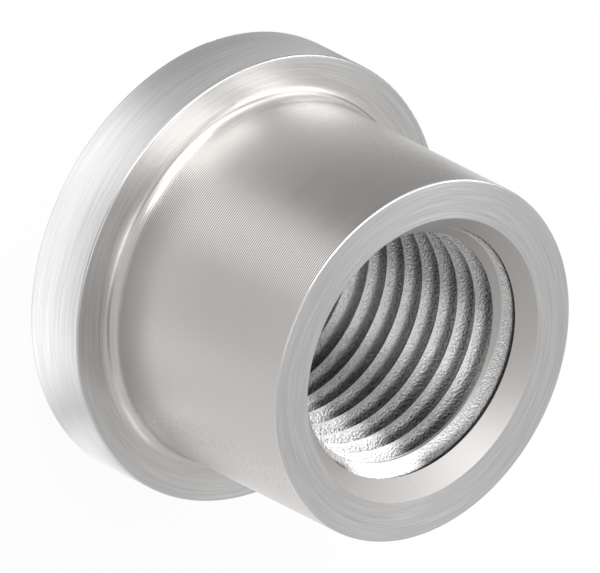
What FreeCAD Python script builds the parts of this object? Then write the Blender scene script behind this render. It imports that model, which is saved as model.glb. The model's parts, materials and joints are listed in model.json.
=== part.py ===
import FreeCAD, Part
import os
from math import radians

import Sketcher

# A flanged, internally threaded sleeve, turned from one bar of stainless steel.
# The origin is the centre of the flange's back face and +Z runs along the bore to the mouth.

# Driving dimensions: lengths in millimetres, angles in degrees
DIMENSIONS = (
    ("thread_dia", 20.0, "nominal diameter at the thread's roots"),
    ("thread_pitch", 2.0, "rise of the thread in one turn"),
    ("thread_angle", 60.0, "angle between the thread's two flanks"),
    ("crest_land", 0.25, "flat on top of the thread's crests"),
    ("thread_clock", 281.0, "angle from +X at which a groove's middle crosses the back face"),
    ("sleeve_dia", 28.0, "outside of the sleeve"),
    ("flange_dia", 34.5, "outside of the flange"),
    ("flange_thickness", 5.3, "back face to seat"),
    ("total_length", 24.0, "back face to mouth face"),
    ("mouth_sink_dia", 22.0, "countersink at the mouth, at its widest"),
    ("mouth_sink_angle", 75.0, "countersink at the mouth, side to side"),
    ("back_sink_dia", 21.0, "countersink in the back face, at its widest"),
    ("back_sink_angle", 90.0, "countersink in the back face, side to side"),
    ("base_fillet", 1.0, "hollow corner between the flange and the sleeve"),
    ("edge_round", 0.15, "rounding of the three outer edges"),
)

# A metric internal thread is 5/8 as deep as the sharp triangle on its pitch
HALF_ANGLE = "(sizes.thread_angle / 2 * 1 deg)"
THREAD_DEPTH = f"(5 / 8 * sizes.thread_pitch / 2 / tan({HALF_ANGLE}))"
MINOR_RADIUS = f"(sizes.thread_dia / 2 - {THREAD_DEPTH})"

# The flanks run into one round root, which touches them both and the nominal diameter
SHARP_DEPTH = f"((sizes.thread_pitch - sizes.crest_land) / 2 / tan({HALF_ANGLE}))"
ROOT_RADIUS = f"(({SHARP_DEPTH} - {THREAD_DEPTH}) / (1 / sin({HALF_ANGLE}) - 1))"

# How far the cutting profile stands inside the bore, so that it cuts clear air there
CUT_INSIDE = "(sizes.thread_pitch / 16)"

NODE = "threaded_sleeve"

# Names of a sketch's own points and axis, and the value a dimension holds until its formula sets it
ORIGIN_POINT = (-1, 1)
HORIZONTAL_AXIS = -1
START, END, CENTRE = 1, 2, 3
UNSET = 1.0


def make_sheet(doc):
    sheet = doc.addObject("Spreadsheet::Sheet", "sizes")
    for row, (name, value, meaning) in enumerate(DIMENSIONS, start=1):
        sheet.set(f"A{row}", name)
        sheet.set(f"B{row}", str(value))
        sheet.set(f"C{row}", meaning)
        sheet.setAlias(f"B{row}", name)
    doc.recompute()
    return sheet


def make_sketch(body, name, role="XZ_Plane"):
    """An empty sketch on an upright plane of the body, with radius along its X and height along its Y."""
    plane = next(f for f in body.Origin.OriginFeatures if f.Role == role)
    sketch = body.newObject("Sketcher::SketchObject", name)
    sketch.AttachmentSupport = [(plane, "")]
    sketch.MapMode = "FlatFace"
    return sketch


def draw_outline(sketch, points):
    """Draw a closed outline through rough points and join its corners. Line i runs from point i."""
    corners = [FreeCAD.Vector(radius, height, 0) for radius, height in points]
    count = len(corners)
    for index in range(count):
        line = Part.LineSegment(corners[index], corners[(index + 1) % count])
        sketch.addGeometry(line, False)
    for index in range(count):
        following = (index + 1) % count
        sketch.addConstraint(Sketcher.Constraint("Coincident", index, END, following, START))


def set_size(sketch, kind, places, name, formula):
    """Dimension a curve, or the step between two points, and bind it to a formula on the sheet."""
    index = sketch.addConstraint(Sketcher.Constraint(kind, *places, UNSET))
    sketch.renameConstraint(index, name)
    sketch.setExpression(f"Constraints.{name}", formula)


def draw_section(body):
    """Half of the turned section, from the axis out to the flange's rim."""
    sketch = make_sketch(body, "section")
    back_face, flange_rim, flange_seat, sleeve_side, mouth_face, axis = 0, 1, 2, 3, 4, 5
    draw_outline(sketch, ((0, 0), (17, 0), (17, 5), (14, 5), (14, 24), (0, 24)))

    for line in (back_face, flange_seat, mouth_face):
        sketch.addConstraint(Sketcher.Constraint("Horizontal", line))
    for line in (flange_rim, sleeve_side, axis):
        sketch.addConstraint(Sketcher.Constraint("Vertical", line))
    sketch.addConstraint(Sketcher.Constraint("Coincident", back_face, START, *ORIGIN_POINT))

    sizes = (
        ("DistanceX", (flange_rim, START), "flange_radius", "sizes.flange_dia / 2"),
        ("DistanceX", (sleeve_side, START), "sleeve_radius", "sizes.sleeve_dia / 2"),
        ("DistanceY", (flange_seat, START), "seat_height", "sizes.flange_thickness"),
        ("DistanceY", (mouth_face, START), "mouth_height", "sizes.total_length"),
    )
    for kind, place, name, formula in sizes:
        set_size(sketch, kind, (*ORIGIN_POINT, *place), name, formula)
    return sketch


def draw_bore(body):
    """Half of the section of the bore, at the thread's crests, with a countersink at each end."""
    sketch = make_sketch(body, "bore_section", "YZ_Plane")
    back_edge, back_sink, wall, mouth_sink, mouth_edge, axis = 0, 1, 2, 3, 4, 5
    draw_outline(sketch, ((0, 0), (10, 0), (9, 2), (9, 21), (11, 24), (0, 24)))

    for line in (back_edge, mouth_edge):
        sketch.addConstraint(Sketcher.Constraint("Horizontal", line))
    for line in (wall, axis):
        sketch.addConstraint(Sketcher.Constraint("Vertical", line))
    sketch.addConstraint(Sketcher.Constraint("Coincident", back_edge, START, *ORIGIN_POINT))

    mouth_depth = f"(sizes.mouth_sink_dia / 2 - {MINOR_RADIUS}) / tan(sizes.mouth_sink_angle / 2 * 1 deg)"
    back_depth = f"(sizes.back_sink_dia / 2 - {MINOR_RADIUS}) / tan(sizes.back_sink_angle / 2 * 1 deg)"
    steps = (
        ("DistanceX", ORIGIN_POINT, (back_sink, START), "back_sink_radius", "sizes.back_sink_dia / 2"),
        ("DistanceX", ORIGIN_POINT, (wall, START), "bore_radius", MINOR_RADIUS),
        ("DistanceX", ORIGIN_POINT, (mouth_sink, END), "mouth_sink_radius", "sizes.mouth_sink_dia / 2"),
        ("DistanceY", ORIGIN_POINT, (mouth_edge, START), "mouth_height", "sizes.total_length"),
        ("DistanceY", (back_sink, START), (back_sink, END), "back_sink_depth", back_depth),
        ("DistanceY", (mouth_sink, START), (mouth_sink, END), "mouth_sink_depth", mouth_depth),
    )
    for kind, first, second, name, formula in steps:
        set_size(sketch, kind, (*first, *second), name, formula)
    return sketch


def turn_blank(body, section):
    blank = body.newObject("PartDesign::Revolution", "turned_blank")
    blank.Profile = section
    blank.ReferenceAxis = (section, ["V_Axis"])
    blank.Angle = 360.0
    return blank


def turn_bore(body, section):
    """The bore in two half turns, so that each strip of crest the thread leaves is less than one turn."""
    for side, reverse in (("left", False), ("right", True)):
        cut = body.newObject("PartDesign::Groove", f"bore_{side}")
        cut.Profile = section
        cut.ReferenceAxis = (section, ["V_Axis"])
        cut.Angle = 180.0
        cut.Reversed = reverse
        cut.Refine = False


def circles_at(shape, radius, height):
    """Names of the round edges of one radius at one height."""
    names = []
    for index, edge in enumerate(shape.Edges, start=1):
        if not isinstance(edge.Curve, Part.Circle):
            continue
        centre = edge.Curve.Center
        if abs(edge.Curve.Radius - radius) < 1e-6 and abs(centre.z - height) < 1e-6:
            names.append(f"Edge{index}")
    return names


def round_edges(body, blank, name, places, formula):
    edges = [edge for radius, height in places for edge in circles_at(blank.Shape, radius, height)]
    fillet = body.newObject("PartDesign::Fillet", name)
    fillet.Base = (blank, edges)
    fillet.setExpression("Radius", formula)
    return fillet


def draw_groove(body):
    """Section of one thread groove, turned about Z to its clock angle, one pitch below the back face."""
    sketch = make_sketch(body, "groove_section")
    sketch.setExpression("AttachmentOffset.Rotation.Axis.y", "1")
    sketch.setExpression("AttachmentOffset.Rotation.Axis.z", "0")
    sketch.setExpression("AttachmentOffset.Rotation.Angle", "sizes.thread_clock * 1 deg")
    lower_flank, upper_flank, inner_edge, root = 0, 1, 2, 3
    corners = [FreeCAD.Vector(*point) for point in ((8.8, -2.9), (9.8, -2.3), (9.8, -1.7), (8.8, -1.1))]
    sketch.addGeometry(Part.LineSegment(corners[0], corners[1]), False)
    sketch.addGeometry(Part.LineSegment(corners[2], corners[3]), False)
    sketch.addGeometry(Part.LineSegment(corners[3], corners[0]), False)
    circle = Part.Circle(FreeCAD.Vector(9.6, -2.0, 0), FreeCAD.Vector(0, 0, 1), 0.35)
    sketch.addGeometry(Part.ArcOfCircle(circle, radians(-60), radians(60)), False)

    sketch.addConstraint(Sketcher.Constraint("Coincident", inner_edge, START, upper_flank, END))
    sketch.addConstraint(Sketcher.Constraint("Coincident", inner_edge, END, lower_flank, START))
    sketch.addConstraint(Sketcher.Constraint("Coincident", lower_flank, END, root, START))
    sketch.addConstraint(Sketcher.Constraint("Coincident", root, END, upper_flank, START))
    sketch.addConstraint(Sketcher.Constraint("Vertical", inner_edge))

    # The root arc meets each flank where its radius is square to the flank
    inner_radius = f"{MINOR_RADIUS} - {CUT_INSIDE}"
    inner_width = f"(sizes.thread_pitch - sizes.crest_land + 2 * {CUT_INSIDE} * tan({HALF_ANGLE}))"
    root_middle = f"sizes.thread_dia / 2 - {ROOT_RADIUS}"
    touch_out = f"{ROOT_RADIUS} * sin({HALF_ANGLE})"
    touch_up = f"{ROOT_RADIUS} * cos({HALF_ANGLE})"
    steps = (
        ("DistanceX", ORIGIN_POINT, (root, CENTRE), "root_centre_radius", root_middle),
        ("DistanceY", (root, CENTRE), ORIGIN_POINT, "root_centre_drop", "sizes.thread_pitch"),
        ("DistanceX", (root, CENTRE), (root, START), "root_touch_out", touch_out),
        ("DistanceY", (root, START), (root, CENTRE), "root_touch_down", touch_up),
        ("DistanceY", (root, CENTRE), (root, END), "root_touch_up", touch_up),
        ("DistanceX", ORIGIN_POINT, (inner_edge, START), "inner_radius", inner_radius),
        ("DistanceY", (inner_edge, END), (inner_edge, START), "inner_width", inner_width),
        ("DistanceY", (inner_edge, END), (root, CENTRE), "inner_half_width", f"{inner_width} / 2"),
    )
    for kind, first, second, name, formula in steps:
        set_size(sketch, kind, (*first, *second), name, formula)
    return sketch


def cut_thread(body, groove):
    """A right-hand thread that starts below the back face and runs out above the mouth."""
    thread = body.newObject("PartDesign::SubtractiveHelix", "thread")
    thread.Profile = groove
    thread.ReferenceAxis = (groove, ["V_Axis"])
    thread.Mode = "pitch-height-angle"
    thread.Refine = False
    thread.LeftHanded = False
    thread.setExpression("Pitch", "sizes.thread_pitch")
    thread.setExpression("Height", "sizes.total_length + 3 * sizes.thread_pitch")
    return thread


def make_sleeve(doc, sheet):
    body = doc.addObject("PartDesign::Body", NODE)
    body.Label = NODE
    blank = turn_blank(body, draw_section(body))
    doc.recompute()

    flange_radius = sheet.flange_dia / 2
    sleeve_radius = sheet.sleeve_dia / 2
    outer_edges = (
        (flange_radius, 0),
        (flange_radius, sheet.flange_thickness),
        (sleeve_radius, sheet.total_length),
    )
    rounded = round_edges(body, blank, "outer_edge_rounds", outer_edges, "sizes.edge_round")
    doc.recompute()
    corner = ((sleeve_radius, sheet.flange_thickness),)
    round_edges(body, rounded, "base_corner_fillet", corner, "sizes.base_fillet")
    doc.recompute()

    turn_bore(body, draw_bore(body))
    doc.recompute()
    before = body.Shape.Volume
    thread = cut_thread(body, draw_groove(body))
    body.Tip = thread
    doc.recompute()
    if body.Shape.Volume >= before:
        raise RuntimeError("the thread cut nothing")
    return body


def check_document(doc, bodies):
    for item in doc.Objects:
        if "Invalid" in item.State or "Error" in item.State:
            raise RuntimeError(f"{item.Label} failed: {item.State}")
    for body in bodies:
        if body.Shape.isNull() or not body.Shape.isValid():
            raise RuntimeError(f"{body.Label} has no valid shape")


def main():
    doc = FreeCAD.newDocument("threaded_sleeve_part")
    sheet = make_sheet(doc)
    bodies = [make_sleeve(doc, sheet)]
    check_document(doc, bodies)
    os.makedirs("parts", exist_ok=True)
    for body in bodies:
        body.Shape.exportStep(f"parts/{body.Label}.step")
        box = body.Shape.BoundBox
        print(body.Label, "volume", round(body.Shape.Volume, 1), "solids", len(body.Shape.Solids))
        print("box", round(box.XLength, 3), round(box.YLength, 3), round(box.ZLength, 3))


main()
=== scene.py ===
import json
from math import cos, pi, radians, sin, tan

import bmesh
import bpy
from bpy.props import FloatProperty, FloatVectorProperty, PointerProperty
from mathutils import Matrix, Vector


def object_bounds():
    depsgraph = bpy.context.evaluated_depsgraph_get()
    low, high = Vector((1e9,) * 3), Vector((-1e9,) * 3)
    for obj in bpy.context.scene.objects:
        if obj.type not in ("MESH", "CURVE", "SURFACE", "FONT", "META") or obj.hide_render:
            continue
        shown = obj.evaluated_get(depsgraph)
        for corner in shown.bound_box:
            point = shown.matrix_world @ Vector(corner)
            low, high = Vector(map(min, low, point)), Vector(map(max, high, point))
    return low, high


bl_info = {
    "name": "Threaded Sleeve",
    "version": (1, 0, 0),
    "blender": (4, 5, 0),
    "location": "View3D > Sidebar > Sleeve",
    "description": "Turned stainless steel finish and studio for a flanged, internally threaded sleeve",
    "category": "Object",
}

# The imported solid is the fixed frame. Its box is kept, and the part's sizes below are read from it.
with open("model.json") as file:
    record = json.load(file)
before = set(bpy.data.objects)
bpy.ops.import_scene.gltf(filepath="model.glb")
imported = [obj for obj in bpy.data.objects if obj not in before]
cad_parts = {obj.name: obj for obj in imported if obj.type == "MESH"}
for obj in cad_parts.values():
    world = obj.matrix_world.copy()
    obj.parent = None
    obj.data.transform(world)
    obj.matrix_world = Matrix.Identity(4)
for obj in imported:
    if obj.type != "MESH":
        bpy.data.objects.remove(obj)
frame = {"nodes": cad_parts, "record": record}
CAD_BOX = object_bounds()
MOUNTS = {mount["name"]: mount for mount in frame["record"]["mounts"]}

NODE = "threaded_sleeve"
MILLIMETRE = 0.001

# Sizes of the part in millimetres. The origin is the centre of the flange's back face.
LENGTH = round(CAD_BOX[1][2] / MILLIMETRE, 3)
FLANGE_RADIUS = round(CAD_BOX[1][0] / MILLIMETRE, 3)
FLANGE_THICKNESS = round(MOUNTS["flange_seat"]["pos_m"][2] / MILLIMETRE, 3)
SLEEVE_RADIUS = MOUNTS["sleeve_outside"]["dims"]["r_mm"]
CREST_RADIUS = MOUNTS["thread"]["dims"]["r_mm"]
EDGE_ROUND = 0.15
FILLET = 1.0
MOUTH_SINK_RADIUS = 11.0
MOUTH_SINK_HALF_ANGLE = radians(37.5)
BACK_SINK_RADIUS = 10.5
FLANK_ANGLE = radians(30.0)

# Where one surface gives way to the next: the start and the end of a smooth step, in millimetres
BEHIND_CRESTS = (0.02, 0.08)
BEHIND_CONES = (0.02, 0.04)
OUT_OF_BORE = (10.4, 10.5)
OUT_OF_BACK_SINK = (1.5, 1.7)
INTO_MOUTH_SINK = (20.6, 21.2)
OFF_SLEEVE_SIDE = (0.02, 0.25)
OVER_MOUTH_EDGE = (LENGTH - EDGE_ROUND, LENGTH - 0.1)
ABOVE_FILLET = (FLANGE_THICKNESS + FILLET + 0.1, FLANGE_THICKNESS + FILLET + 0.2)
OVER_RIM_EDGE = (FLANGE_RADIUS - 0.3, FLANGE_RADIUS - 0.25)
OVER_BACK_EDGE = (EDGE_ROUND, EDGE_ROUND + 0.05)

# The exact normal leans out by at least this much before it is scaled, so that it always has a length
LEAST_LEAN = 0.001

# Sides of the part: an azimuth in degrees, and the cosines from it where the side begins and is full
# Painted white highlight on the thread's flanks
PAINTED_WHITE_PATCH_SIDE = (-100.0, 0.9, 0.985)
# Painted highlight across the thread's turns
PAINTED_HIGHLIGHT_SIDE = (-27.0, 0.84, 1.0)
# Painted shade on the thread's flanks
PAINTED_SHADE_SIDE = (-64.0, 0.80, 0.98)
# Side where the painted shade in the roots is weaker
LIGHT_ROOTS_SIDE = (71.57, 0.0, 0.738)
# Side where the turning lines get a painted highlight and shade
LIT_LINES_SIDE = (131.0, 0.95, 1.0)
MOTTLED_SIDES = ((72.0, 0.96, 0.995), (-149.0, 0.96, 0.995))
# Side of the painted shade in the corner at the flange
CORNER_SHADE_SIDE = (109.9, 0.0, 0.4)

# Streaks along the rings: their circle's radius in the noise, noise steps in a millimetre across, detail
HAIR_STREAKS = (2.6, 13.6, 1.0)
FINE_STREAKS = (3.2, 5.95, 3.0)
BROAD_STREAKS = (1.5, 2.72, 2.0)

# Tones of streaked steel, as shares of the bare steel's: without streaks, and what each kind adds at most
STREAKED_TONE = 0.62
HAIR_TONE = 0.40
FINE_TONE = 0.26
BROAD_TONE = 0.10

# How far the streaks change the height, in millimetres, and the roughness
STREAK_HEIGHT = 0.007
STREAK_ROUGHNESS = 0.1

# Tones of the sleeve's side, as shares of the bare steel's: between the turning lines, what the lines change
# everywhere, what they change on the side where they catch the light, which is a painted highlight and
# shade, and what the mottling changes
SIDE_TONE = 0.97
LINE_TONE = 0.05
LIT_LINE_TONE = 0.40
MOTTLE_TONE = 0.9

# Share of their depth that the turning lines have away from the side where they catch the light
PLAIN_LINE_DEPTH = 0.2

# Painted shade: a dark line in the corner at the flange, on one side of it, and one round the flange's back
# edge: places in millimetres, and darkness
CORNER_SHADE_RADIUS = SLEEVE_RADIUS + 0.45 * FILLET
BESIDE_CORNER_SHADE = (0.04, 0.13)
OFF_SEAT = (0.25, 0.4)
CORNER_SHADE_DARKNESS = 0.4
ABOVE_BACK_SHADE = (0.1, 0.2)
INTO_BACK_SHADE = (FLANGE_RADIUS - 0.2, FLANGE_RADIUS - 0.1)
BACK_SHADE_DARKNESS = 0.35

# The warm colour fades by a share on the flange's seat and is gone on its rim: millimetres from the axis
ONTO_SEAT = (14.6, 15.2)
ONTO_RIM = (16.4, 17.2)
SEAT_COOLNESS = 0.6

# The normal's part along the axis, where a surface stops facing the flange and where it faces the mouth
FACING_BACK = (-0.35, -0.1)
FACING_MOUTH = (0.15, 0.5)

# The thread's grain and specks, in noise steps in a millimetre and detail
GRAIN = (5.5, 3.0)
SPECKS = (8.0, 2.0)

# Painted shade in the thread's roots: where it sets in, in millimetres behind the crests, and how specks
# move that
INTO_ROOTS = (0.30, 0.62)
ROOT_SHADE_SPREAD = 0.6

# Share of the painted root shade that is gone on one side, where the roots are lighter, and under the
# painted highlight
LIGHT_ROOTS_SHARE = 0.6
ROOT_SHADE_GONE_UNDER_HIGHLIGHT = 0.3

# Tone of the bore, as a share of the bare steel's, and what the specks change in the thread
BORE_TONE = 0.88
SPECK_TONE = 1.4

# What is added to the thread's tone: everywhere, less by each millimetre up, which paints light into the
# deep turns, and more on two of its sides as painted highlights
THREAD_GAIN = 0.45
PAINTED_LIGHT_FADE = 0.020
PAINTED_HIGHLIGHT_GAIN = 0.75
PAINTED_WHITE_PATCH_GAIN = 0.7

# Painted shade taken from the thread's tone: in the roots, where the thread runs out into the mouth's
# countersink, on one side and on the back flanks
ROOT_SHADE_DARKNESS = 0.76
RUN_OUT_SHADE = 0.8
PAINTED_SHADE_DARKNESS = 0.42
BACK_FLANK_SHADE = 0.5

# Share of the back flanks' painted shade that is gone under the painted white patch and under the painted
# highlight
BACK_FLANK_SHADE_GONE_UNDER_WHITE_PATCH = 0.6
BACK_FLANK_SHADE_GONE_UNDER_HIGHLIGHT = 0.5

CONE_ROUGHNESS = 0.58
FLANK_ROUGHNESS = 0.42

# The picture shows the axis level. The camera stands this far round from it and this far above it.
CAMERA_ROUND = radians(40.0)
CAMERA_ABOVE = radians(25.0)
CAMERA_DISTANCE = 0.4
CAMERA_CLIP = (0.01, 5.0)

# The picture's width in points, its scale, and its middle in points from the centre of the flange's seat
PICTURE_WIDTH = 600
POINTS_PER_MILLIMETRE = 13.7
SEAT_TO_MIDDLE = (41.86, -8.49)

# Soft lamps: azimuth from +X and elevation in degrees, width and height in metres, radiance
LAMP_DISTANCE = 0.6
LAMPS = {
    "right_lamp": (27.0, 27.0, 0.26, 0.19, 3.0),
    "upper_lamp": (12.0, 48.0, 0.24, 0.24, 2.9),
    "bore_lamp": (177.0, 74.0, 0.20, 0.20, 2.0),
    "middle_lamp": (66.0, 28.0, 0.36, 0.18, 1.0),
    "left_lamp": (82.0, 47.0, 0.40, 0.24, 3.8),
    "low_lamp": (113.0, 10.0, 0.50, 0.20, 5.2),
    "far_lamp": (264.0, 30.0, 0.22, 0.22, 0.8),
}

# Cards on the floor that only the steel sees: azimuth and half its width in degrees,
# nearest and farthest distance from the axis in millimetres, change of tone
CARDS = {
    "near_white": (162.0, 38.0, 0.0, 22.5, 0.81),
    "near_grey": (65.0, 44.0, 0.0, 20.7, -0.27),
    "far_grey": (66.0, 43.0, 27.0, 72.0, -0.54),
    "white_strip": (127.0, 8.0, 20.0, 48.0, 0.1),
    "side_grey": (160.0, 16.0, 23.0, 38.0, -0.14),
    "low_white": (236.0, 12.0, 0.0, 22.5, 0.45),
    "lower_grey": (247.0, 10.0, 20.0, 24.5, -0.55),
    "upper_grey": (29.0, 13.0, 16.0, 23.5, -0.30),
    "far_white": (194.0, 80.0, 75.0, 900.0, 0.47),
}
CARD_EDGE = 2.4
CARD_EDGE_ANGLE = 15.0

# The tone in which the steel sees the floor, and how much darker it is towards an azimuth in degrees
FLOOR_TONE = 0.93
FLOOR_TONE_CHANGE = 0.18
FLOOR_DARKER_TOWARDS = 132.0

# Share of plain white in what the camera sees of the floor
FLOOR_WHITE_SHARE = 0.93

# The floor lies this far under the back face, so that the two surfaces don't coincide
FLOOR_GAP = 0.00002


class SteelFinish(bpy.types.PropertyGroup):
    colour: FloatVectorProperty(
        name="Colour", description="Colour of the bare steel", subtype="COLOR",
        size=3, min=0.0, max=1.0, default=(0.61, 0.61, 0.61))
    warm_colour: FloatVectorProperty(
        name="Warm Colour", description="Colour of the steel where the turning left it warmer",
        subtype="COLOR", size=3, min=0.0, max=1.0, default=(0.62, 0.60, 0.585))
    roughness: FloatProperty(
        name="Roughness", description="Roughness of the turned outside", subtype="FACTOR",
        min=0.0, max=1.0, default=0.32)
    feed: FloatProperty(
        name="Feed", description="Distance between two turning lines on the sleeve",
        subtype="DISTANCE", unit="LENGTH", min=0.00005, max=0.001, precision=6, default=0.000192)
    line_depth: FloatProperty(
        name="Line Depth", description="Depth of a turning line",
        subtype="DISTANCE", unit="LENGTH", min=0.0, max=0.00005, precision=7, default=0.000006)
    grain_depth: FloatProperty(
        name="Grain Depth", description="Height of the grain on the thread's flanks",
        subtype="DISTANCE", unit="LENGTH", min=0.0, max=0.0002, precision=6, default=0.0001)
    anisotropy: FloatProperty(
        name="Anisotropy", description="How far the turned outside draws its reflections out",
        subtype="FACTOR", min=0.0, max=1.0, default=0.6)
    anisotropy_turn: FloatProperty(
        name="Anisotropy Turn", description="Share of a full turn from the surface's own direction",
        subtype="FACTOR", min=0.0, max=1.0, default=0.25)


class StudioSettings(bpy.types.PropertyGroup):
    floor_colour: FloatVectorProperty(
        name="Floor Colour", description="Colour of the floor", subtype="COLOR",
        size=3, min=0.0, max=1.0, default=(0.82, 0.82, 0.82))
    floor_size: FloatProperty(
        name="Floor Size", description="Width of the floor", subtype="DISTANCE",
        unit="LENGTH", min=0.1, max=5.0, default=1.2)
    room_colour: FloatVectorProperty(
        name="Room Colour", description="Colour of the even light from all round", subtype="COLOR",
        size=3, min=0.0, max=1.0, default=(1.0, 1.0, 1.0))
    room_light: FloatProperty(
        name="Room Light", description="Strength of the even light from all round",
        min=0.0, max=3.0, default=0.7)


class Value:
    """A node's output. Python's arithmetic on one that is a number adds Math nodes."""

    def __init__(self, tree, socket):
        self.tree = tree
        self.socket = socket

    def maths(self, operation, *terms):
        return self.tree.node("ShaderNodeMath", {"operation": operation}, *terms)

    def __add__(self, other):
        return self.maths("ADD", self, other)

    def __radd__(self, other):
        return self.maths("ADD", other, self)

    def __sub__(self, other):
        return self.maths("SUBTRACT", self, other)

    def __rsub__(self, other):
        return self.maths("SUBTRACT", other, self)

    def __mul__(self, other):
        return self.maths("MULTIPLY", self, other)

    def __rmul__(self, other):
        return self.maths("MULTIPLY", other, self)

    def __truediv__(self, other):
        return self.maths("DIVIDE", self, other)

    def largest(self, other):
        return self.maths("MAXIMUM", self, other)

    def root(self):
        return self.maths("SQRT", self)

    def sine(self):
        return self.maths("SINE", self)

    def unsigned(self):
        return self.maths("ABSOLUTE", self)

    def rise(self, low, high):
        """0 below low, 1 above high and a smooth step between them."""
        settings = {"interpolation_type": "SMOOTHSTEP"}
        return self.tree.node("ShaderNodeMapRange", settings, self, low, high, 0.0, 1.0)

    def fall(self, low, high):
        """1 below low, 0 above high and a smooth step between them."""
        return 1 - self.rise(low, high)


class Tree:
    """The node tree of one material or of the world."""

    def __init__(self, owner):
        owner.use_nodes = True
        self.nodes = owner.node_tree.nodes
        self.links = owner.node_tree.links
        self.nodes.clear()

    def make(self, kind, settings, inputs):
        """Add a node: its settings first, then the values or links of its sockets, by place or name."""
        node = self.nodes.new(kind)
        for name, value in settings.items():
            setattr(node, name, value)
        for key, value in inputs.items():
            if isinstance(value, Value):
                self.links.new(value.socket, node.inputs[key])
            else:
                node.inputs[key].default_value = value
        return node

    def node(self, kind, settings=None, *places, output=0, **names):
        """Add a node and give one of its outputs. An underscore in a socket's name stands for a space."""
        named = {name.replace("_", " "): value for name, value in names.items()}
        inputs = {**dict(enumerate(places)), **named}
        return Value(self, self.make(kind, settings or {}, inputs).outputs[output])

    def vector(self, x, y, z):
        return self.node("ShaderNodeCombineXYZ", None, x, y, z)

    def grey(self, tone):
        return self.vector(tone, tone, tone)

    def axes(self, vector):
        node = self.make("ShaderNodeSeparateXYZ", {}, {0: vector})
        return [Value(self, socket) for socket in node.outputs]

    def noise(self, place, scale, detail):
        return self.node("ShaderNodeTexNoise", None, Vector=place, Scale=scale, Detail=detail)

    def mix_colour(self, blend, share, first, second):
        """Mix two colours, which are the Mix node's inputs 6 and 7 and its output 2."""
        settings = {"data_type": "RGBA", "blend_type": blend}
        node = self.make("ShaderNodeMix", settings, {0: share, 6: first, 7: second})
        return Value(self, node.outputs[2])

    def mix_vector(self, share, first, second):
        """Mix two vectors, which are the Mix node's inputs 4 and 5 and its output 1."""
        node = self.make("ShaderNodeMix", {"data_type": "VECTOR"}, {0: share, 4: first, 5: second})
        return Value(self, node.outputs[1])

    def bump(self, height, normal):
        """The normal of a surface that has this height, in metres, over the one with the given normal."""
        return self.node("ShaderNodeBump", None, Strength=1.0, Distance=1.0, Height=height, Normal=normal)


def opaque(colour):
    return (*colour, 1.0)


def towards(x, y, azimuth):
    """How far a point lies towards this azimuth, which is in degrees."""
    return x * cos(radians(azimuth)) + y * sin(radians(azimuth))


class Surface:
    """Where a point lies on the part, in millimetres, and which of the part's surfaces it belongs to."""

    def __init__(self, tree):
        self.tree = tree
        own_place = tree.node("ShaderNodeTexCoord", output="Object")
        self.place = tree.node(
            "ShaderNodeVectorMath", {"operation": "SCALE"}, own_place, Scale=1 / MILLIMETRE)
        x, y, z = tree.axes(self.place)
        self.z = z
        self.radius = (x * x + y * y).root()
        self.round_x, self.round_y = x / self.radius, y / self.radius
        self.lengthwise = tree.axes(tree.node("ShaderNodeTexCoord", output="Normal"))[2]
        self.speck = tree.noise(self.place, *SPECKS)

        # How far a point lies behind the crests and the countersinks' cones
        mouth_cone = (z - LENGTH) * tan(MOUTH_SINK_HALF_ANGLE) + MOUTH_SINK_RADIUS
        back_cone = BACK_SINK_RADIUS - z
        self.depth = self.radius - mouth_cone.largest(back_cone).largest(CREST_RADIUS)

        self.in_bore = self.radius.fall(*OUT_OF_BORE)
        self.groove = self.depth.rise(*BEHIND_CRESTS) * self.in_bore
        self.outside = self.depth.rise(*BEHIND_CONES) * (1 - self.in_bore)
        self.below_mouth_edge = z.fall(*OVER_MOUTH_EDGE)
        off_side = (self.radius - SLEEVE_RADIUS).unsigned()
        self.side = off_side.fall(*OFF_SLEEVE_SIDE) * self.below_mouth_edge
        self.at_mouth = z.rise(*INTO_MOUTH_SINK)
        self.between_sinks = z.rise(*OUT_OF_BACK_SINK) * (1 - self.at_mouth)

    def facing(self, azimuth, begins, full):
        """1 on the side of the part that faces this azimuth and 0 away from it."""
        return towards(self.round_x, self.round_y, azimuth).rise(begins, full)

    def streaks(self, circle, steps_across, detail):
        """A noise drawn out along the rings, on the flat faces as well as on the rim."""
        across = (self.z + self.radius) * steps_across
        place = self.tree.vector(self.round_x * circle, self.round_y * circle, across)
        return self.tree.noise(place, 1.0, detail)

    def normal(self, share, outwards, upwards):
        """The mesh's normal, and where share is 1 the one with these parts away from and along the axis."""
        settings = {"vector_type": "NORMAL", "convert_from": "OBJECT", "convert_to": "WORLD"}
        own_axes = self.tree.vector(self.round_x * outwards, self.round_y * outwards, upwards)
        exact = self.tree.node("ShaderNodeVectorTransform", settings, own_axes)
        of_mesh = self.tree.node("ShaderNodeNewGeometry", output="Normal")
        mixed = self.tree.mix_vector(share, of_mesh, exact)
        return self.tree.node("ShaderNodeVectorMath", {"operation": "NORMALIZE"}, mixed)


def outside_normal(surface):
    """The normal of the back face, the rim, the sleeve and their edge rounds, without the mesh's facets."""
    radius, z = surface.radius, surface.z
    upper = z.rise(*ABOVE_FILLET)
    past_round = radius - (FLANGE_RADIUS - EDGE_ROUND - (FLANGE_RADIUS - SLEEVE_RADIUS) * upper)
    above_round = z - (FLANGE_THICKNESS - EDGE_ROUND + (LENGTH - FLANGE_THICKNESS) * upper)
    below_round = EDGE_ROUND - z
    outwards = past_round.largest(LEAST_LEAN)
    upwards = above_round.largest(0.0) - below_round.largest(0.0)
    share = upper.largest(radius.rise(*OVER_RIM_EDGE)).largest(z.fall(*OVER_BACK_EDGE))
    return surface.normal(share, outwards, upwards)


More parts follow.
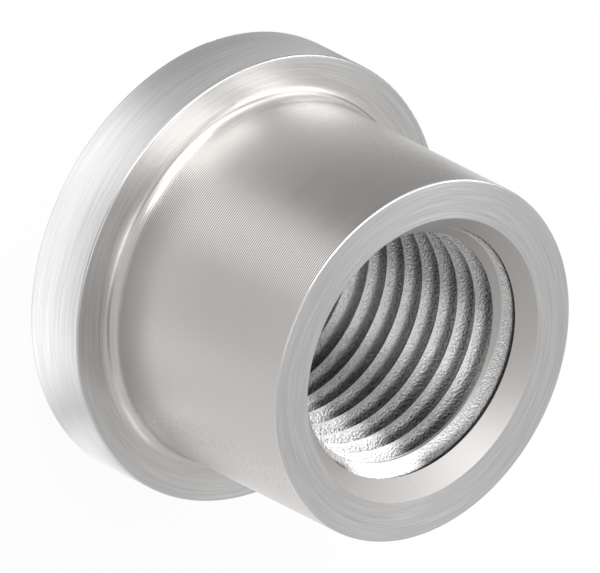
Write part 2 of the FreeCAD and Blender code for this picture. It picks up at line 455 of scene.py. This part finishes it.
def inside_normal(surface):
    """The mesh's normal, but on the crests that of the flank above, as if the crests were rounded."""
    on_crest = surface.between_sinks * (1 - surface.groove)
    return surface.normal(on_crest, -sin(FLANK_ANGLE), cos(FLANK_ANGLE))


def steel(tree, bare, tone, **sockets):
    """A metal of the bare colour times the tone."""
    toned = tree.mix_colour("MULTIPLY", 1.0, bare, tree.grey(tone))
    return tree.node("ShaderNodeBsdfPrincipled", None, Base_Color=toned, Metallic=1.0, **sockets)


def outside_steel(tree, surface, finish):
    """Long streaks on the flat faces and the rim, and fine turning lines on the sleeve's side."""
    radius, z, side = surface.radius, surface.z, surface.side
    hair, fine, broad = (surface.streaks(*sizes) for sizes in (HAIR_STREAKS, FINE_STREAKS, BROAD_STREAKS))
    streaked = hair * HAIR_TONE + fine * FINE_TONE + broad * BROAD_TONE + STREAKED_TONE
    # Painted shade: darker in the corner at the flange on one side, and round the flange's back edge
    off_seat = (z - FLANGE_THICKNESS).unsigned()
    off_corner_shade = (radius - CORNER_SHADE_RADIUS).unsigned()
    shaded_corner = off_seat.fall(*OFF_SEAT) * surface.facing(*CORNER_SHADE_SIDE)
    streaked *= 1 - CORNER_SHADE_DARKNESS * off_corner_shade.fall(*BESIDE_CORNER_SHADE) * shaded_corner
    streaked *= 1 - BACK_SHADE_DARKNESS * z.fall(*ABOVE_BACK_SHADE) * radius.rise(*INTO_BACK_SHADE)

    lines = (z * (2 * pi * MILLIMETRE / finish.feed)).sine()
    # Painted highlight and shade: the lines' tone changes most on the side where they catch the light
    lit_lines = surface.facing(*LIT_LINES_SIDE)
    upper_outline, lower_outline = (surface.facing(*sizes) for sizes in MOTTLED_SIDES)
    mottle = (surface.speck - 0.5) * MOTTLE_TONE * upper_outline.largest(lower_outline)
    side_tone = SIDE_TONE + lines * (LINE_TONE + LIT_LINE_TONE * lit_lines) + mottle

    warmth = (1 - SEAT_COOLNESS * radius.rise(*ONTO_SEAT)) * radius.fall(*ONTO_RIM)
    warmth *= surface.below_mouth_edge
    bare = tree.mix_colour("MIX", warmth, opaque(finish.colour), opaque(finish.warm_colour))

    streak_height = (hair + fine - 1) * (STREAK_HEIGHT * MILLIMETRE) * (1 - side)
    line_share = PLAIN_LINE_DEPTH + (1 - PLAIN_LINE_DEPTH) * lit_lines
    line_height = lines * side * line_share * (finish.line_depth / 2)
    return steel(
        tree, bare, streaked * (1 - side) + side * side_tone,
        Roughness=finish.roughness + STREAK_ROUGHNESS * (broad - 0.5),
        Normal=tree.bump(streak_height + line_height, outside_normal(surface)),
        Anisotropic=finish.anisotropy, Anisotropic_Rotation=finish.anisotropy_turn)


def inside_steel(tree, surface, finish):
    """Grained flanks in the thread, with painted shade in its roots, on one side and on the back flanks,
    painted highlights on two sides, and the smooth cones of the countersinks.
    """
    groove, speck, between_sinks = surface.groove, surface.speck, surface.between_sinks
    thread = groove.largest(between_sinks)
    # Sides with a painted white patch, a painted highlight and painted shade
    painted_white_patch, painted_highlight, shaded_side = (surface.facing(*sizes) for sizes in (PAINTED_WHITE_PATCH_SIDE, PAINTED_HIGHLIGHT_SIDE, PAINTED_SHADE_SIDE))
    root_shade_gone = painted_white_patch.largest(LIGHT_ROOTS_SHARE * surface.facing(*LIGHT_ROOTS_SIDE))
    # Painted shade in the thread's roots, weaker on two sides
    painted_root_shade = (surface.depth + (speck - 0.5) * ROOT_SHADE_SPREAD).rise(*INTO_ROOTS)
    painted_root_shade *= surface.in_bore * (1 - root_shade_gone) * (1 - ROOT_SHADE_GONE_UNDER_HIGHLIGHT * painted_highlight)
    # Painted shade on the back flanks and where the thread runs out at the mouth
    back_flank = surface.lengthwise.fall(*FACING_BACK) * groove
    run_out = surface.lengthwise.fall(*FACING_MOUTH) * groove * surface.at_mouth

    # Painted light: brighter deeper in the bore, and painted highlights on two sides
    tone_and_painted_light = THREAD_GAIN - surface.z * PAINTED_LIGHT_FADE + painted_highlight * PAINTED_HIGHLIGHT_GAIN * between_sinks + painted_white_patch * PAINTED_WHITE_PATCH_GAIN
    tone = (1 + SPECK_TONE * (speck - 0.5) * thread) * BORE_TONE * (1 + tone_and_painted_light * thread)
    tone *= (1 - ROOT_SHADE_DARKNESS * painted_root_shade) * (1 - RUN_OUT_SHADE * run_out)
    # Painted shade on one side of the thread
    tone *= 1 - PAINTED_SHADE_DARKNESS * shaded_side * between_sinks * (1 - painted_white_patch)
    back_flank *= (1 - BACK_FLANK_SHADE_GONE_UNDER_WHITE_PATCH * painted_white_patch) * (1 - BACK_FLANK_SHADE_GONE_UNDER_HIGHLIGHT * painted_highlight)
    tone *= 1 - BACK_FLANK_SHADE * back_flank

    grain = tree.noise(surface.place, *GRAIN)
    height = (grain - 0.5) * groove * finish.grain_depth
    bare = tree.mix_colour("MIX", thread, opaque(finish.warm_colour), opaque(finish.colour))
    return steel(
        tree, bare, tone,
        Roughness=CONE_ROUGHNESS - (CONE_ROUGHNESS - FLANK_ROUGHNESS) * groove,
        Normal=tree.bump(height, inside_normal(surface)))


def steel_material(finish):
    """Turned stainless steel, streaked and lined outside and grained in the thread."""
    material = bpy.data.materials.new("turned_stainless_steel")
    tree = Tree(material)
    surface = Surface(tree)
    inside, outside = inside_steel(tree, surface, finish), outside_steel(tree, surface, finish)
    both = tree.node("ShaderNodeMixShader", None, surface.outside, inside, outside)
    tree.make("ShaderNodeOutputMaterial", {}, {"Surface": both})
    return material


def floor_material(settings):
    """A pale floor. The camera sees it white apart from the part's shadow, and the steel sees its cards."""
    material = bpy.data.materials.new("pale_floor")
    tree = Tree(material)
    x, y = (axis / MILLIMETRE for axis in tree.axes(tree.node("ShaderNodeTexCoord", output="Object"))[:2])
    distance = (x * x + y * y).root()
    tone = FLOOR_TONE - FLOOR_TONE_CHANGE * towards(x, y, FLOOR_DARKER_TOWARDS) / distance
    for azimuth, half_width, nearest, farthest, change in CARDS.values():
        begins = cos(radians(half_width + CARD_EDGE_ANGLE))
        full = cos(radians(half_width - CARD_EDGE_ANGLE))
        turned = (towards(x, y, azimuth) / distance).rise(begins, full)
        within = distance.rise(nearest - CARD_EDGE, nearest + CARD_EDGE)
        before_end = distance.fall(farthest - CARD_EDGE, farthest + CARD_EDGE)
        tone += turned * within * before_end * change
    camera = tree.node("ShaderNodeLightPath", output="Is Camera Ray")
    glossy = tree.node("ShaderNodeLightPath", output="Is Glossy Ray")
    matte = tree.node("ShaderNodeBsdfDiffuse", None, Color=opaque(settings.floor_colour))
    seen = tree.node("ShaderNodeEmission", None, Color=tree.grey(camera + glossy * tone), Strength=1.0)
    both = tree.node("ShaderNodeMixShader", None, camera * FLOOR_WHITE_SHARE + glossy, matte, seen)
    tree.make("ShaderNodeOutputMaterial", {}, {"Surface": both})
    return material


class SLEEVE_OT_finish_steel(bpy.types.Operator):
    """Give the sleeve its turned stainless steel finish"""
    bl_idname = "sleeve.finish_steel"
    bl_label = "Finish Steel"

    def execute(self, context):
        materials = frame["nodes"][NODE].data.materials
        materials.clear()
        materials.append(steel_material(context.scene.sleeve_steel))
        return {"FINISHED"}


def add_floor(scene, settings):
    """A square floor just under the part."""
    mesh = bpy.data.meshes.new("floor")
    floor = bpy.data.objects.new("floor", mesh)
    scene.collection.objects.link(floor)
    shape = bmesh.new()
    below = Matrix.Translation((0.0, 0.0, -FLOOR_GAP))
    bmesh.ops.create_grid(shape, x_segments=1, y_segments=1, size=settings.floor_size / 2, matrix=below)
    shape.to_mesh(mesh)
    shape.free()
    mesh.materials.append(floor_material(settings))


def add_room(scene, settings):
    """Even light from all round."""
    world = bpy.data.worlds.new("soft_room")
    scene.world = world
    tree = Tree(world)
    room = tree.node(
        "ShaderNodeBackground", None, Color=opaque(settings.room_colour), Strength=settings.room_light)
    tree.make("ShaderNodeOutputWorld", {}, {"Surface": room})


def add_lamp(scene, name, azimuth, elevation, width, height, radiance):
    """A soft lamp that faces the part, with its width along the horizon."""
    data = bpy.data.lights.new(name, "AREA")
    data.shape = "RECTANGLE"
    data.size = width
    data.size_y = height
    data.energy = radiance * pi * width * height
    lamp = bpy.data.objects.new(name, data)
    scene.collection.objects.link(lamp)
    round_axis, above = radians(azimuth), radians(elevation)
    direction = Vector((cos(round_axis) * cos(above), sin(round_axis) * cos(above), sin(above)))
    lamp.location = direction * LAMP_DISTANCE
    lamp.rotation_mode = "QUATERNION"
    lamp.rotation_quaternion = direction.to_track_quat("Z", "Y")


def add_camera(scene):
    """A camera with parallel lines of sight."""
    data = bpy.data.cameras.new("camera")
    camera = bpy.data.objects.new("camera", data)
    scene.collection.objects.link(camera)
    level = cos(CAMERA_ABOVE)
    right = Vector((cos(CAMERA_ROUND), 0.0, sin(CAMERA_ROUND)))
    back = Vector((-sin(CAMERA_ROUND) * level, sin(CAMERA_ABOVE), cos(CAMERA_ROUND) * level))
    up = back.cross(right)
    across, above = (points / POINTS_PER_MILLIMETRE for points in SEAT_TO_MIDDLE)
    middle = (Vector((0.0, 0.0, FLANGE_THICKNESS)) + right * across + up * above) * MILLIMETRE
    turn = Matrix((right, up, back)).transposed()
    camera.matrix_world = Matrix.Translation(middle + back * CAMERA_DISTANCE) @ turn.to_4x4()
    data.type = "ORTHO"
    data.ortho_scale = PICTURE_WIDTH / POINTS_PER_MILLIMETRE * MILLIMETRE
    data.clip_start, data.clip_end = CAMERA_CLIP
    scene.camera = camera


class SLEEVE_OT_build_studio(bpy.types.Operator):
    """Set the part on a pale floor, with soft light and the camera"""
    bl_idname = "sleeve.build_studio"
    bl_label = "Build Studio"

    def execute(self, context):
        scene = context.scene
        add_floor(scene, scene.sleeve_studio)
        add_room(scene, scene.sleeve_studio)
        for name, lamp in LAMPS.items():
            add_lamp(scene, name, *lamp)
        add_camera(scene)
        scene.view_settings.view_transform = "Standard"
        return {"FINISHED"}


class SLEEVE_PT_panel(bpy.types.Panel):
    bl_label = "Threaded Sleeve"
    bl_idname = "SLEEVE_PT_panel"
    bl_space_type = "VIEW_3D"
    bl_region_type = "UI"
    bl_category = "Sleeve"

    def draw(self, context):
        self.layout.operator(SLEEVE_OT_finish_steel.bl_idname)
        self.layout.operator(SLEEVE_OT_build_studio.bl_idname)


CLASSES = (SteelFinish, StudioSettings, SLEEVE_OT_finish_steel, SLEEVE_OT_build_studio, SLEEVE_PT_panel)


def register():
    for cls in CLASSES:
        bpy.utils.register_class(cls)
    bpy.types.Scene.sleeve_steel = PointerProperty(type=SteelFinish)
    bpy.types.Scene.sleeve_studio = PointerProperty(type=StudioSettings)


def unregister():
    del bpy.types.Scene.sleeve_studio
    del bpy.types.Scene.sleeve_steel
    for cls in reversed(CLASSES):
        bpy.utils.unregister_class(cls)


def main():
    register()
    bpy.ops.sleeve.finish_steel()
    bpy.ops.sleeve.build_studio()


if __name__ == "__main__":
    main()
